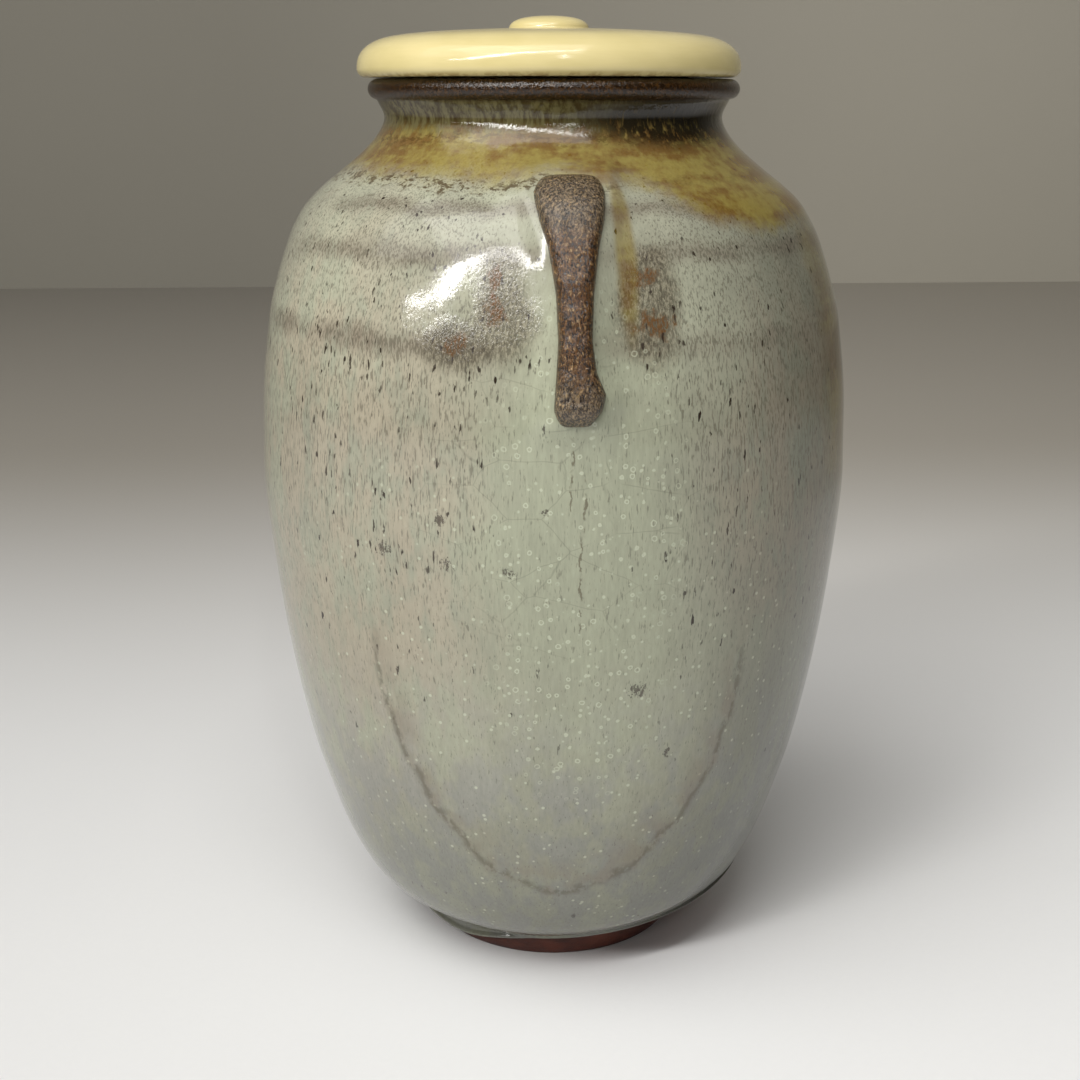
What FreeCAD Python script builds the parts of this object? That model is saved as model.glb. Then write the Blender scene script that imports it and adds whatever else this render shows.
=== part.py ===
import FreeCAD, Part
import math
import os

import Sketcher
from FreeCAD import Placement, Rotation, Vector

# A small stoneware tea jar with two strap lugs and a turned lid. Millimetres.
# +Z is up, the origin is the centre of the foot that the jar stands on, and
# the front lug faces -Y. Everything round is turned about the Z axis.

# Driving dimensions: cell alias, length, what it measures.
SIZES = [
    ("foot_radius", 12.4, "flat foot, where the jar stands"),
    ("glaze_thickness", 0.6, "glaze over the clay, measured level"),
    ("lip_glaze", 0.3, "glaze over the lip, where it runs thin"),
    # The glazed wall is two curves that meet upright at the belly. These are
    # their control points, each a radius and a height, from the foot up.
    ("glaze_edge_radius", 13.7, "lower edge of the glaze"),
    ("glaze_edge_height", 2.7, ""),
    ("heel_radius", 17.0, "turn just above the foot"),
    ("heel_height", 4.8, ""),
    ("flank_radius", 19.1, "end of the heel's turn"),
    ("flank_height", 6.3, ""),
    ("wall_radius", 24.6, "long rise of the lower wall"),
    ("wall_height", 20.2, ""),
    ("under_belly_height", 41.0, "where the wall turns upright"),
    ("belly_radius", 27.1, "widest part of the jar"),
    ("belly_height", 46.0, ""),
    ("over_belly_height", 48.0, "where the wall starts to lean in"),
    ("shoulder_radius", 26.7, "outer shoulder"),
    ("shoulder_height", 60.2, ""),
    ("turn_radius", 23.1, "turn of the shoulder"),
    ("turn_height", 69.2, ""),
    ("slope_radius", 21.5, "start of the slope up to the neck"),
    ("slope_height", 71.0, ""),
    ("neck_radius", 13.4, "pull of the neck's hollow"),
    ("neck_height", 76.9, ""),
    ("lip_radius", 16.5, "rolled lip"),
    ("lip_round", 0.85, "radius of the lip's roll"),
    ("lip_height", 80.65, "top of the lip"),
    # Hollow
    ("wall_thickness", 3.3, "wall with its glaze, measured level"),
    ("shoulder_drop", 2.0, "how far the hollow's shoulder lies under the outer one"),
    ("floor_radius", 9.0, "flat of the hollow's floor"),
    ("floor_height", 4.6, ""),
    ("floor_turn_height", 11.0, "end of the floor's turn into the wall"),
    ("throat_radius", 12.6, "inside of the neck"),
    ("throat_foot_height", 74.5, "where the throat starts"),
    ("mouth_round", 1.9, "rounding of the mouth's inner edge"),
    ("cutter_spare", 5.0, "how far a cutting shape runs past what it cuts"),
    # Lugs
    ("lug_top", 72.7, "top of the lug"),
    ("lug_bottom", 55.1, "bottom of the lug"),
    ("lug_corner_drop", 0.9, "height of the arc across either end"),
    ("lug_top_half_width", 2.5, ""),
    ("lug_bottom_half_width", 1.9, ""),
    ("lug_side_round", 40.0, "radius of the hollow side"),
    ("lug_top_round", 3.9, "radius across the top end"),
    ("lug_bottom_round", 2.5, "radius across the bottom end"),
    ("lug_standout", 2.2, "how far it stands out of the glaze"),
    ("lug_reach", 34.0, "length of the blank that the lug is cut from"),
    # Lid
    ("lid_radius", 17.0, "widest part of the lid"),
    ("lid_bottom", 80.75, "face that rests on the lip"),
    ("lid_edge_round", 0.75, "rounding under the lid's rim"),
    ("lid_rim_height", 82.6, "pull of the rim's upright face"),
    ("lid_rim_turn_radius", 15.9, "turn from the rim to the top"),
    ("lid_rim_turn_height", 84.0, ""),
    ("lid_top_radius", 12.8, "start of the nearly flat top"),
    ("lid_top_height", 84.55, ""),
    ("knob_radius", 3.55, "knob in the middle of the lid"),
    ("knob_foot_height", 84.85, ""),
    ("knob_side_height", 85.65, "pull of the knob's side"),
    ("knob_dome_radius", 2.3, "pull of the knob's dome"),
    ("knob_top", 86.0, "top of everything"),
    ("spigot_radius", 12.0, "boss that sits in the throat"),
    ("spigot_bottom", 78.55, ""),
    ("lining_radius", 11.6, "foil paper under the lid"),
    ("lining_thickness", 0.2, ""),
]

SHEET = "Sizes"

# How a sketch numbers its own origin, axes and the ends of a curve
SKETCH_ORIGIN = (-1, 1)
HORIZONTAL_AXIS = -1
VERTICAL_AXIS = -2
START = 1
END = 2
CENTRE = 3

SPLINE_DEGREE = 3


def make_sheet(doc):
    sheet = doc.addObject("Spreadsheet::Sheet", SHEET)
    for row, (alias, length, note) in enumerate(SIZES, start=1):
        sheet.set(f"A{row}", alias)
        sheet.set(f"B{row}", str(length))
        sheet.set(f"C{row}", note)
        sheet.setAlias(f"B{row}", alias)
    doc.recompute()
    return sheet


def length_of(sheet, words):
    """Value of a sum of cells, such as "belly_radius - wall_thickness"."""
    total = 0.0
    sign = 1
    for word in words.split():
        if word in ("+", "-"):
            sign = 1 if word == "+" else -1
        elif word != "0":
            total += sign * float(sheet.get(word))
    return total


def expression_of(words):
    """The same sum as an expression that the document keeps up to date."""
    return " ".join(word if word in ("+", "-", "0") else f"{SHEET}.{word}" for word in words.split())


class Outline:
    """A closed chain of lines, arcs and splines in a sketch, tied to the sheet.

    Every corner is a pair of sums of cells: across (the sketch's X) and up.
    """

    def __init__(self, body, name, sheet, start):
        self.sheet = sheet
        self.sketch = body.newObject("Sketcher::SketchObject", name)
        plane = next(o for o in body.Origin.OriginFeatures if o.Role == "XZ_Plane")
        self.sketch.AttachmentSupport = [(plane, "")]
        self.sketch.MapMode = "FlatFace"
        self.first = start
        self.last = start
        self.first_end = None
        self.last_end = None

    def point(self, corner):
        across, up = corner
        return Vector(length_of(self.sheet, across), length_of(self.sheet, up), 0)

    def add(self, kind, *values):
        return self.sketch.addConstraint(Sketcher.Constraint(kind, *values))

    def tie(self, kind, words, *where):
        """A driving dimension whose value follows the sheet."""
        index = self.add(kind, *where, length_of(self.sheet, words))
        self.sketch.setExpression(f"Constraints[{index}]", expression_of(words))

    def tie_point(self, corner, curve, end):
        across, up = corner
        if across == "0":
            self.add("PointOnObject", curve, end, VERTICAL_AXIS)
        else:
            self.tie("DistanceX", across, *SKETCH_ORIGIN, curve, end)
        if up == "0":
            self.add("PointOnObject", curve, end, HORIZONTAL_AXIS)
        else:
            self.tie("DistanceY", up, *SKETCH_ORIGIN, curve, end)

    def join(self, curve, near_end, far_end, corner):
        """Joins a new curve to the chain, and ties its far end to a corner."""
        if self.last_end is None:
            self.first_end = (curve, near_end)
            self.tie_point(self.first, curve, near_end)
        else:
            self.add("Coincident", *self.last_end, curve, near_end)
        if corner == self.first:
            self.add("Coincident", curve, far_end, *self.first_end)
        else:
            self.tie_point(corner, curve, far_end)
        self.last = corner
        self.last_end = (curve, far_end)

    def line(self, corner):
        curve = self.sketch.addGeometry(Part.LineSegment(self.point(self.last), self.point(corner)))
        self.join(curve, START, END, corner)

    def arc(self, corner, radius, turn):
        """An arc under half a circle. turn is 1 anticlockwise, -1 clockwise."""
        start = self.point(self.last)
        end = self.point(corner)
        size = length_of(self.sheet, radius)
        half = (end - start) * 0.5
        side = Vector(-half.y, half.x, 0).normalize() * turn
        centre = start + half + side * math.sqrt(size ** 2 - half.Length ** 2)
        curve = self.sketch.addGeometry(Part.Arc(start, centre - side * size, end))
        if turn > 0:
            self.join(curve, START, END, corner)
        else:
            self.join(curve, END, START, corner)
        self.tie("Radius", radius, curve)

    def spline(self, *corners):
        """A smooth curve to the last of these, pulled towards the others."""
        poles = [self.last, *corners]
        shape = Part.BSplineCurve()
        shape.buildFromPoles([self.point(pole) for pole in poles], False, SPLINE_DEGREE)
        curve = self.sketch.addGeometry(shape)
        self.sketch.exposeInternalGeometry(curve)
        first_pole = curve + 1
        for offset, pole in enumerate(poles[1:-1], start=1):
            self.tie_point(pole, first_pole + offset, CENTRE)
        self.join(curve, START, END, corners[-1])


def turned(doc, sheet, name, start, draw):
    """A body turned about Z from the outline that draw makes."""
    body = doc.addObject("PartDesign::Body", name)
    outline = Outline(body, f"{name}_outline", sheet, start)
    draw(outline)
    revolution = body.newObject("PartDesign::Revolution", f"{name}_turned")
    revolution.Profile = outline.sketch
    revolution.ReferenceAxis = (outline.sketch, ["V_Axis"])
    revolution.Angle = 360
    return body


def wall_point(name, offset=""):
    """A control point of the glazed wall, moved level by offset."""
    radius = "belly_radius" if name in ("under_belly", "over_belly") else f"{name}_radius"
    return (radius + offset, f"{name}_height")


def draw_wall(outline, offset, lip_root):
    """The wall from the glaze's lower edge, where the outline is, to the lip."""
    lower = ["heel", "flank", "wall", "under_belly", "belly"]
    upper = ["over_belly", "shoulder", "turn", "slope", "neck"]
    outline.spline(*(wall_point(name, offset) for name in lower))
    outline.spline(*(wall_point(name, offset) for name in upper), lip_root)


def draw_lip(outline, skin):
    """The outer half of the rolled lip, less the glaze that skin takes off."""
    middle = "lip_height - lip_round"
    outline.arc(("lip_radius" + skin, middle), "lip_round" + skin, 1)
    outline.arc(("lip_radius - lip_round", "lip_height" + skin), "lip_round" + skin, 1)


def draw_clay(outline):
    """The clay without its hollow: foot, wall and lip."""
    outline.line(("foot_radius", "0"))
    outline.line(wall_point("glaze_edge", " - glaze_thickness"))
    lip_root = ("lip_radius - lip_round", "lip_height - lip_round - lip_round + lip_glaze")
    draw_wall(outline, " - glaze_thickness", lip_root)
    draw_lip(outline, " - lip_glaze")
    outline.line(("0", "lip_height - lip_glaze"))
    outline.line(outline.first)


def draw_glazed(outline):
    """Everything inside the glaze's surface, from its lower edge to the lip."""
    outline.line(wall_point("glaze_edge"))
    draw_wall(outline, "", ("lip_radius - lip_round", "lip_height - lip_round - lip_round"))
    draw_lip(outline, "")
    outline.line(("0", "lip_height"))
    outline.line(outline.first)


def draw_lug_reach(outline):
    """Everything inside the lugs' outer faces."""
    outline.line(wall_point("glaze_edge", " + lug_standout"))
    lip_root = ("lip_radius + lug_standout", "lip_height")
    draw_wall(outline, " + lug_standout", lip_root)
    outline.line(("0", "lip_height"))
    outline.line(outline.first)


def draw_hollow(outline):
    """The hollow: floor, inner wall, throat and the mouth's rounded edge."""
    inset = " - wall_thickness"
    outline.line(("floor_radius", "floor_height"))
    outline.spline(
        ("flank_radius - wall_thickness", "floor_height"),
        ("flank_radius", "floor_turn_height"),
        wall_point("wall", inset),
        wall_point("under_belly", inset),
        wall_point("belly", inset),
    )
    outline.spline(
        wall_point("over_belly", inset),
        ("shoulder_radius - wall_thickness", "shoulder_height - shoulder_drop"),
        ("turn_radius - wall_thickness", "turn_height - shoulder_drop"),
        ("throat_radius", "slope_height - shoulder_drop"),
        ("throat_radius", "throat_foot_height"),
    )
    outline.line(("throat_radius", "lip_height - lip_glaze - mouth_round"))
    outline.arc(("throat_radius + mouth_round", "lip_height - lip_glaze"), "mouth_round", -1)
    outline.line(("throat_radius + mouth_round", "lip_height + cutter_spare"))
    outline.line(("0", "lip_height + cutter_spare"))
    outline.line(outline.first)


def draw_lid(outline):
    """The lid with its boss below and its knob on top, in one turned piece."""
    outline.line(("spigot_radius", "spigot_bottom"))
    outline.line(("spigot_radius", "lid_bottom"))
    outline.line(("lid_radius - lid_edge_round", "lid_bottom"))
    outline.arc(("lid_radius", "lid_bottom + lid_edge_round"), "lid_edge_round", 1)
    outline.spline(
        ("lid_radius", "lid_rim_height"),
        ("lid_rim_turn_radius", "lid_rim_turn_height"),
        ("lid_top_radius", "lid_top_height"),
        ("knob_radius", "knob_foot_height"),
    )
    outline.spline(
        ("knob_radius", "knob_side_height"),
        ("knob_dome_radius", "knob_top"),
        ("0", "knob_top"),
    )
    outline.line(outline.first)


def draw_lug_front(outline):
    """The lug seen from the front: wide at the top, waisted, blunt below."""
    top = "lug_top - lug_corner_drop"
    bottom = "lug_bottom + lug_corner_drop"
    outline.arc(("lug_bottom_half_width", bottom), "lug_bottom_round", 1)
    outline.arc(("lug_top_half_width", top), "lug_side_round", -1)
    outline.arc(("0 - lug_top_half_width", top), "lug_top_round", 1)
    outline.arc(outline.first, "lug_side_round", -1)


def make_lug(doc, sheet, name, angle, reach, clay):
    """A solid strap bent to the wall, standing on the clay at angle about Z."""
    body = doc.addObject("PartDesign::Body", f"{name}_blank")
    start = ("0 - lug_bottom_half_width", "lug_bottom + lug_corner_drop")
    outline = Outline(body, f"{name}_outline", sheet, start)
    draw_lug_front(outline)
    pad = body.newObject("PartDesign::Pad", f"{name}_pad")
    pad.Profile = outline.sketch
    pad.setExpression("Length", f"{SHEET}.lug_reach")
    body.Placement = Placement(Vector(), Rotation(Vector(0, 0, 1), angle))
    bent = boolean(doc, "Part::Common", f"{name}_bent", body, reach)
    return boolean(doc, "Part::Cut", name, bent, clay)


def boolean(doc, kind, name, base, tool):
    result = doc.addObject(kind, name)
    result.Base = base
    result.Tool = tool
    return result


def make_lining(doc):
    lining = doc.addObject("Part::Cylinder", "lid_lining")
    lining.setExpression("Radius", f"{SHEET}.lining_radius")
    lining.setExpression("Height", f"{SHEET}.lining_thickness")
    below_boss = f"{SHEET}.spigot_bottom - {SHEET}.lining_thickness"
    lining.setExpression("Placement.Base.z", below_boss)
    return lining


def make_parts(doc, sheet):
    """Every sub-part, each labelled with the name of its node."""
    clay = turned(doc, sheet, "clay", ("0", "0"), draw_clay)
    hollow = turned(doc, sheet, "hollow", ("0", "floor_height"), draw_hollow)
    glazed = turned(doc, sheet, "glazed", ("0", "glaze_edge_height"), draw_glazed)
    reach = turned(doc, sheet, "lug_reach_shape", ("0", "glaze_edge_height"), draw_lug_reach)
    lugs = [
        make_lug(doc, sheet, "lug_front", 0, reach, clay),
        make_lug(doc, sheet, "lug_back", 180, reach, clay),
    ]
    inside = doc.addObject("Part::MultiFuse", "inside_the_glaze")
    inside.Shapes = [clay, hollow, *lugs]
    return [
        boolean(doc, "Part::Cut", "jar_body", clay, hollow),
        boolean(doc, "Part::Cut", "glaze_coat", glazed, inside),
        *lugs,
        turned(doc, sheet, "lid", ("0", "spigot_bottom"), draw_lid),
        make_lining(doc),
    ]


def check(doc, parts):
    """Stops if anything in the document failed, or a sub-part isn't one solid."""
    failed = [o.Name for o in doc.Objects if {"Invalid", "Error"} & set(o.State)]
    if failed:
        raise RuntimeError(f"failed to recompute: {failed}")
    for part in parts:
        shape = part.Shape
        if shape.isNull() or not shape.isValid() or len(shape.Solids) != 1:
            raise RuntimeError(f"{part.Label} is not one valid solid")


def main():
    doc = FreeCAD.newDocument("tea_jar")
    sheet = make_sheet(doc)
    parts = make_parts(doc, sheet)
    doc.recompute()
    check(doc, parts)
    os.makedirs("parts", exist_ok=True)
    for part in parts:
        part.Shape.exportStep(f"parts/{part.Label}.step")
        print(f"{part.Label}: {part.Shape.Volume:.1f} mm3")


main()
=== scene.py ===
import math

import bpy
import numpy as np
from mathutils import Matrix, Vector


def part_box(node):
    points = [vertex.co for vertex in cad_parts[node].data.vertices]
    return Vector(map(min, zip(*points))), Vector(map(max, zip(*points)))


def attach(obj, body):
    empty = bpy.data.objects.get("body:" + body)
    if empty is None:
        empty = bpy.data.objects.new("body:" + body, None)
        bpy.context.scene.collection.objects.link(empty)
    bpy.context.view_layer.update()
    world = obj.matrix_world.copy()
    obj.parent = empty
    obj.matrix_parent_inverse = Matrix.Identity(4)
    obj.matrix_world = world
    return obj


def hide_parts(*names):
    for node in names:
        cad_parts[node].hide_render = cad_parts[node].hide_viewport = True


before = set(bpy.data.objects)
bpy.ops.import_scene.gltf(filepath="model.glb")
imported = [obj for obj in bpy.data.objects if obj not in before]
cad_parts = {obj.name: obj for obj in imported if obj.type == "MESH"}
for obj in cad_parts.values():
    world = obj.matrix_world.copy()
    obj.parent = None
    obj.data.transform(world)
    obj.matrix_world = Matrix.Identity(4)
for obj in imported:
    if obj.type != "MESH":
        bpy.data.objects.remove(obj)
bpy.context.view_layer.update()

# A small glazed tea jar. Metres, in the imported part's own frame: +Z is up, the
# origin is the centre of the foot, and the front lug faces -Y. An angle is
# taken about Z from -Y, and is positive towards +X.
MM = 0.001
SEED = 7

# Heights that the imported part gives
EDGE_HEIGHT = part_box("glaze_coat")[0].z
LIP_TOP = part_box("glaze_coat")[1].z
CLAY_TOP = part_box("jar_body")[1].z
LUG_LOW, LUG_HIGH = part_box("lug_front")[0].z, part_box("lug_front")[1].z
LID_LOW, LID_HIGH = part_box("lid")[0].z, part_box("lid")[1].z
LID_BOTTOM = LIP_TOP + 0.1 * MM  # underside of the lid's rim
LID_SHIFT = -0.45 * MM  # the lid sits a little to the left, within its boss's clearance

# The rolled lip
LIP_ROUND = 0.85 * MM
LIP_MIDDLE = LIP_TOP - LIP_ROUND
LIP_ROOT = LIP_TOP - 2 * LIP_ROUND

# Glaze
EDGE_RISE = 0.5 * MM  # how far the lower edge stands above the CAD edge at the front
EDGE_TILT = 2.8 * MM  # how steeply it climbs from there to the right, and sinks to the left
EDGE_REACH = 12 * MM  # height under which the tilt moves the glaze
BEAD = 0.42 * MM  # radius of the roll that the lower edge ends in
SKIN = 0.6 * MM  # thickness, down to the glaze's hidden face
LAP = 0.05 * MM  # how far that face lies inside the clay
THROAT_SKIN = 0.08 * MM  # thickness inside the mouth
THROAT_DEPTH = 4 * MM  # how far down the throat the glaze goes
# Throwing ridges: height, how far each stands out and its half width, in millimetres
RIDGES = [
    (71.0, 0.04, 1.0),
    (67.6, 0.06, 1.3),
    (60.9, 0.07, 1.5),
    (54.0, 0.03, 2.0),
    (46.5, 0.03, 2.4),
]

# Clay
MOUTH_ROUND = 1.9 * MM  # radius of the mouth's inner edge
FOOT_ROUND = 0.5 * MM  # radius of the foot's outer edge
FLOOR_HEIGHT = 4.6 * MM  # floor of the hollow

# Lug: height above the lug's foot as a share of its length, and how far the
# strap reaches to the left and to the right of its middle, in millimetres.
LUG_SHAPE = [
    (0.00, 1.55, 1.60),
    (0.05, 1.70, 2.05),
    (0.12, 1.60, 2.30),
    (0.21, 1.48, 1.60),
    (0.34, 1.33, 1.27),
    (0.54, 1.45, 1.45),
    (0.72, 1.95, 1.90),
    (0.85, 2.70, 2.50),
    (0.93, 3.20, 2.85),
    (1.00, 2.95, 2.80),
]
LUG_STANDOUT = 2.1 * MM
LUG_DEPTH = 0.5 * MM  # how far the strap's foot is sunk in the glaze
FILLET = 0.75 * MM  # how far the glaze climbs the strap
FILLET_WIDTH = 1.45 * MM  # how far out from the strap it starts to climb

# Marks in the glaze, placed in degrees from the front lug and millimetres up.
# Hearts of the brown stains: angle, height, half width in degrees and half height
HEARTS = [
    (-13.8, 63.3, 2.0, 0.8),
    (-14.2, 65.9, 1.3, 0.8),
    (-21.0, 60.8, 2.2, 0.7),
    (14.4, 62.2, 3.4, 0.8),
    (13.0, 65.8, 2.4, 0.6),
]
# Iron stars: angle, height and half height
SPOTS = [
    (12.0, 32.3, 0.60),
    (19.0, 26.0, 0.35),
    (-23.0, 47.0, 0.45),
    (-34.0, 44.0, 0.55),
    (-5.0, 48.0, 0.25),
    (-11.0, 43.0, 0.40),
    (-22.0, 43.4, 0.40),
    (2.0, 8.4, 0.25),
    (165.0, 40.0, 0.60),
]
# Dark runs: angle, height and half length
RUNS = [(-0.6, 50.3, 4.0), (1.6, 49.0, 3.2), (1.0, 42.0, 4.5)]

# Light
LIGHT_COLOUR = (1.0, 0.99, 0.97)
WINDOW_RADIANCE = 30.0
WINDOW_DISTANCE = 0.6  # from the middle of the jar
# Azimuth and elevation of each joint of the slanting window, and the width of each part
WINDOW = [(-63, 20), (-51, 24), (-39, 35), (-30, 43), (-13, 50), (10, 57), (24, 60)]
WINDOW_WIDTHS = [0.02, 0.052, 0.056, 0.034, 0.02, 0.013]


# ---------------------------------------------------------------- outlines


def cast_radius(node, height, inside=False):
    """Radius of a turned CAD node's outer or inner face at a height, on the +X side."""
    start, step = (0.0, 1.0) if inside else (0.1, -1.0)
    hit, place, _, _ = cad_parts[node].ray_cast(Vector((start, 0, height)), Vector((step, 0, 0)))
    if not hit:
        raise ValueError(f"{node} has no face at height {height}")
    return place.x


class Curve:
    """A smooth curve through points: y for any x."""

    def __init__(self, xs, ys):
        self.xs = np.asarray(xs, float)
        self.ys = np.asarray(ys, float)
        self.slopes = np.gradient(self.ys, self.xs)

    def __call__(self, x):
        i = np.clip(np.searchsorted(self.xs, x) - 1, 0, len(self.xs) - 2)
        width = self.xs[i + 1] - self.xs[i]
        t = np.clip((x - self.xs[i]) / width, 0, 1)
        rise = t * t * (3 - 2 * t)
        start = self.ys[i] + (self.ys[i + 1] - self.ys[i]) * rise
        return start + width * (self.slopes[i] * t * (1 - t) ** 2 - self.slopes[i + 1] * t * t * (1 - t))


def cast_curve(node, low, high, count, inside=False):
    """Radius of a turned CAD node's face, as a smooth curve of height."""
    heights = np.linspace(low, high, count)
    return Curve(heights, [cast_radius(node, float(z), inside) for z in heights])


HAIR = 0.02 * MM  # keeps a cast off the very edge of a face
clay_wall = cast_curve("jar_body", HAIR, EDGE_HEIGHT, 3)
glazed_wall = cast_curve("glaze_coat", EDGE_HEIGHT + HAIR, LIP_ROOT, 52)
hollow_wall = cast_curve("jar_body", 5.2 * MM, LIP_MIDDLE - 2 * LIP_ROUND, 48, inside=True)
LIP_RADIUS = cast_radius("glaze_coat", LIP_MIDDLE)
LIP_MIDDLE_RADIUS = LIP_RADIUS - LIP_ROUND
THROAT_RADIUS = cast_radius("jar_body", LIP_ROOT - 2 * MM, inside=True)
MOUTH_RADIUS = THROAT_RADIUS + MOUTH_ROUND  # where the lip's top turns down into the throat
FOOT_RADIUS = float(clay_wall(0.0))


def wall_radius(z):
    """Radius of the glaze's surface, carried on down over the foot."""
    z = np.asarray(z, float)
    return np.where(z > EDGE_HEIGHT, glazed_wall(z), clay_wall(z) + SKIN)


def wall_points(start, end, count, inset=0.0):
    """(radius, height) points along the glaze's surface, or along a layer inset under it."""
    return [(float(wall_radius(z)) - inset, z) for z in np.linspace(start, end, count)]


def even_steps(points, step):
    """Points at even steps along a polyline of (radius, height) pairs."""
    points = np.asarray(points, float)
    lengths = np.r_[0, np.cumsum(np.hypot(*np.diff(points, axis=0).T))]
    count = max(2, int(round(lengths[-1] / step)) + 1)
    at = np.linspace(0, lengths[-1], count)
    return np.stack([np.interp(at, lengths, points[:, k]) for k in (0, 1)], 1)


def arc(centre, radius, start, end, count=24):
    """(radius, height) points on a circle, from angle start to end in degrees."""
    turn = np.radians(np.linspace(start, end, count))
    return np.stack([centre[0] + radius * np.cos(turn), centre[1] + radius * np.sin(turn)], 1)


# ------------------------------------------------------------------ meshes


def add_mesh(name, vertices, faces, material, body):
    """A smooth-shaded piece that moves with one of the part's bodies."""
    mesh = bpy.data.meshes.new(name)
    mesh.from_pydata([tuple(v) for v in np.asarray(vertices)], [], faces)
    mesh.validate()
    mesh.shade_smooth()
    piece = bpy.data.objects.new(name, mesh)
    bpy.context.scene.collection.objects.link(piece)
    mesh.materials.append(material)
    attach(piece, body)
    return piece


def grid_faces(rows, columns, loop_rows=False):
    """Quads of a grid of vertices numbered row by row, whose every row is a ring."""
    faces = []
    for i in range(rows if loop_rows else rows - 1):
        above = (i + 1) % rows
        for j in range(columns):
            right = (j + 1) % columns
            lower, upper = i * columns, above * columns
            faces.append((lower + j, lower + right, upper + right, upper + j))
    return faces


def turn_points(radii, heights, angles):
    """Vertices at every row's radius and height and every column's angle."""
    x = radii * np.sin(angles)
    y = -radii * np.cos(angles)
    return np.stack([x, y, np.broadcast_to(heights, x.shape)], -1).reshape(-1, 3)


def add_turned(name, outline, segments, material, body, relief=None):
    """A solid turned from an outline that starts and ends on the axis."""
    outline = np.asarray(outline, float)
    rim = outline[1:-1]
    angles = np.linspace(0, 2 * np.pi, segments, endpoint=False)[None, :]
    radii = np.repeat(rim[:, :1], segments, 1)
    heights = np.repeat(rim[:, 1:], segments, 1)
    if relief is not None:
        radii, heights = relief(radii, heights, angles)
    vertices = list(turn_points(radii, heights, angles))
    faces = grid_faces(len(rim), segments)
    first, last = len(vertices), len(vertices) + 1
    vertices += [(0, 0, outline[0][1]), (0, 0, outline[-1][1])]
    top = (len(rim) - 1) * segments
    for j in range(segments):
        right = (j + 1) % segments
        faces.append((first, right, j))
        faces.append((last, top + j, top + right))
    return add_mesh(name, vertices, faces, material, body)


def ripple(seed, parts, longest):
    """A random smooth function of a length, made of sine waves: about -1 to 1."""
    rng = np.random.default_rng(seed)
    waves = []
    for k in range(parts):
        rate = 2 * np.pi * (k + rng.uniform(0.6, 1.4)) / longest
        waves.append((rate, rng.uniform(0, 2 * np.pi)))
    return lambda x: sum(np.sin(x * rate + phase) for rate, phase in waves) / math.sqrt(parts)


def lug_edges(share):
    """Left and right reach of the strap at a share of its length."""
    shares, left, right = np.array(LUG_SHAPE).T
    return np.interp(share, shares, left) * MM, np.interp(share, shares, right) * MM


def lug_distance(across, z):
    """How far a point of the wall is outside the strap's outline, negative inside."""
    share = np.clip((z - LUG_LOW) / (LUG_HIGH - LUG_LOW), 0, 1)
    left, right = lug_edges(share)
    sideways = np.where(across < 0, -across - left, across - right)
    beyond = np.maximum(z - LUG_HIGH, LUG_LOW - z)
    outside = np.hypot(np.maximum(sideways, 0), np.maximum(beyond, 0))
    return np.where(outside > 0, outside, np.maximum(sideways, beyond))


def glaze_relief(angles, z):
    """How far the glaze stands out of the turned wall: throwing rings, swellings and fillets."""
    longest = 60 * MM
    uneven = ripple(SEED, 5, longest)(z) * 0.03 + ripple(SEED + 1, 9, longest)(z) * 0.015
    sway = 0.10 * np.sin(angles + 0.6 + 25 * z) + 0.05 * np.sin(3 * angles + 60 * z)
    relief = uneven + sway
    for height, standout, width in RIDGES:
        middle = height + 0.5 * np.sin(angles + height) + 0.15 * np.sin(5 * angles + 2 * height)
        relief = relief + standout * np.exp(-(((z / MM - middle) / width) ** 2))
    beside_lug = 0.6  # radians
    for side in (0, np.pi):
        turn = (angles - side + np.pi) % (2 * np.pi) - np.pi
        distance = lug_distance(turn * wall_radius(z), z)
        climb = np.exp(-((np.maximum(distance, 0) / FILLET_WIDTH) ** 1.8))
        relief = relief + climb * FILLET / MM * np.where(np.abs(turn) < beside_lug, 1, 0)
    return relief * MM


def glaze_angles():
    """Column angles, closer together beside the lugs."""
    beside_lug = 11  # degrees
    fine = np.radians(np.arange(-beside_lug, beside_lug, 0.42))
    coarse = np.linspace(math.radians(beside_lug), math.radians(180 - beside_lug), 100, endpoint=False)
    half = np.r_[fine, coarse]
    return np.r_[half, half + np.pi]


def glaze_lip():
    """The glaze's outer face, over the rolled lip and down the throat."""
    inner_round = MOUTH_ROUND + THROAT_SKIN
    points = np.vstack([
        arc((LIP_MIDDLE_RADIUS, LIP_MIDDLE), LIP_ROUND, -80, 90),
        arc((MOUTH_RADIUS, LIP_TOP - inner_round), inner_round, 90, 180)[1:],
        [(THROAT_RADIUS - THROAT_SKIN, LIP_TOP - THROAT_DEPTH)],
    ])
    return even_steps(points, 0.22 * MM)


def glaze_back(low):
    """The glaze's hidden face, just inside the clay from the throat to the lower edge."""
    sunk = 0.4 * MM
    return np.vstack([
        [(THROAT_RADIUS + sunk, LIP_TOP - THROAT_DEPTH)],
        [(MOUTH_RADIUS, LIP_TOP - 2 * sunk)],
        [(LIP_MIDDLE_RADIUS - 0.1 * MM, LIP_MIDDLE)],
        even_steps(wall_points(LIP_ROOT - MM, low, 100, SKIN), 2 * MM),
    ])


def outline_normals(outline):
    """Unit normals of a closed outline, pointing out of the solid."""
    tangent = np.roll(outline, -1, 0) - np.roll(outline, 1, 0)
    return np.stack([tangent[:, 1], -tangent[:, 0]], 1) / np.hypot(*tangent.T)[:, None]


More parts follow.
